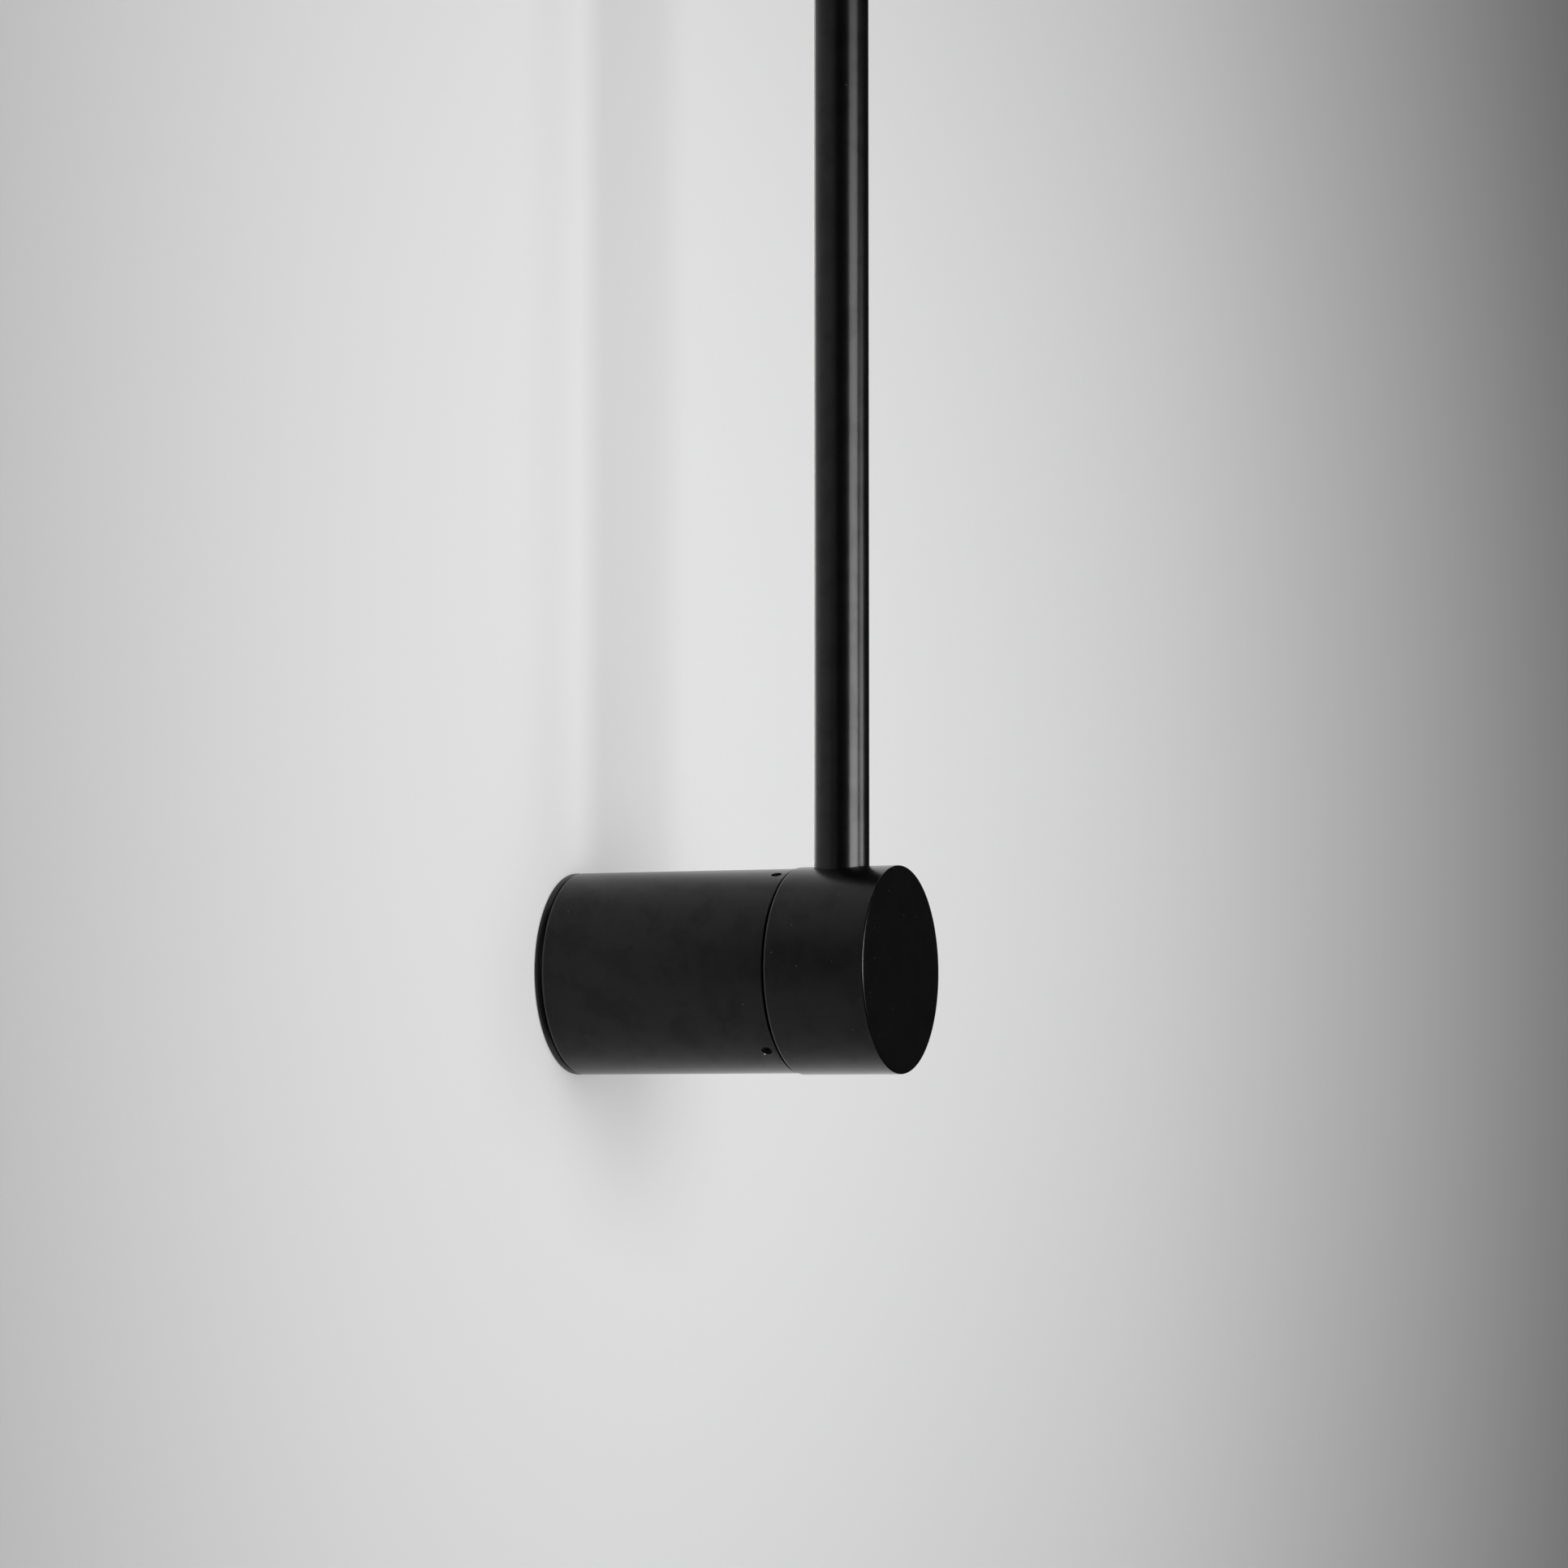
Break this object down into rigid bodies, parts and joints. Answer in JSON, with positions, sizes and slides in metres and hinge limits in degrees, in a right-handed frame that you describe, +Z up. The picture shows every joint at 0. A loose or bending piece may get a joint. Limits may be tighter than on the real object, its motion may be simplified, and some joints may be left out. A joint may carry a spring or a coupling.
{
  "type": "tube wall light",
  "caption": "Swivelling tube wall light: round base drum on the wall, a turning head of the same size, and a slim straight light tube that shines back at the wall.",
  "frame": {"origin": "centre of the wall face of the base plate, on the axis that the head swivels about", "axes": "+Y into the wall, so the lamp stands out along -Y; +Z up along the light tube; +X to the right seen from the room"},
  "size_m": [0.0608, 0.1038, 0.6],
  "materials": {
    "black_aluminium": "satin black powder coat on aluminium",
    "black_steel": "satin black powder coat on steel",
    "black_oxide_steel": "black oxide",
    "zinc_steel": "zinc plated",
    "spring_steel": "bright",
    "cast_aluminium": "as cast, machined faces",
    "brass": "turned",
    "tinned_copper": "tin plated",
    "grommet_rubber": "matte",
    "acetal": "matte",
    "terminal_plastic": "satin",
    "driver_plastic": "satin",
    "brown_insulation": "satin",
    "blue_insulation": "satin",
    "green_insulation": "satin",
    "red_insulation": "satin",
    "lead_sheath": "satin",
    "opal_cover": "satin opal",
    "white_board": "white solder mask",
    "led_phosphor": "satin"
  },
  "bodies": {
    "wall_base": {"wall_plate": "black_steel", "plate_screws": "zinc_steel", "cable_grommet": "grommet_rubber", "base_housing": "black_aluminium", "grub_screws": "black_oxide_steel", "swivel_bulkhead": "cast_aluminium", "front_thrust_washer": "acetal", "rear_thrust_washer": "acetal", "terminal_block": "terminal_plastic", "terminal_block_screw": "zinc_steel", "terminal_screws": "zinc_steel", "live_lead": "brown_insulation", "neutral_lead": "blue_insulation", "earth_lead": "green_insulation", "earth_lug": "tinned_copper", "driver_bracket": "zinc_steel", "bracket_screws": "zinc_steel", "driver_case": "driver_plastic", "driver_cover": "driver_plastic", "driver_screws": "zinc_steel"},
    "lamp_head": {"disc_spring": "spring_steel", "flat_washer": "zinc_steel", "lock_nuts": "brass", "swivel_stem": "zinc_steel", "head_back": "cast_aluminium", "head_back_screws": "zinc_steel", "stop_pin": "spring_steel", "head_shell": "black_aluminium", "light_tube": "black_aluminium", "tube_screws": "zinc_steel", "diffuser": "opal_cover", "led_board": "white_board", "led_chips": "led_phosphor", "tube_end_cap": "black_aluminium", "output_lead": "lead_sheath", "strip_wires": "red_insulation"}
  },
  "joints": [
    {"name": "head_swivel", "type": "hinge", "parent": "wall_base", "child": "lamp_head", "pos_m": [0, -0.0728, 0], "axis": [0, -1, 0], "range_deg": [-175, 175]}
  ]
}
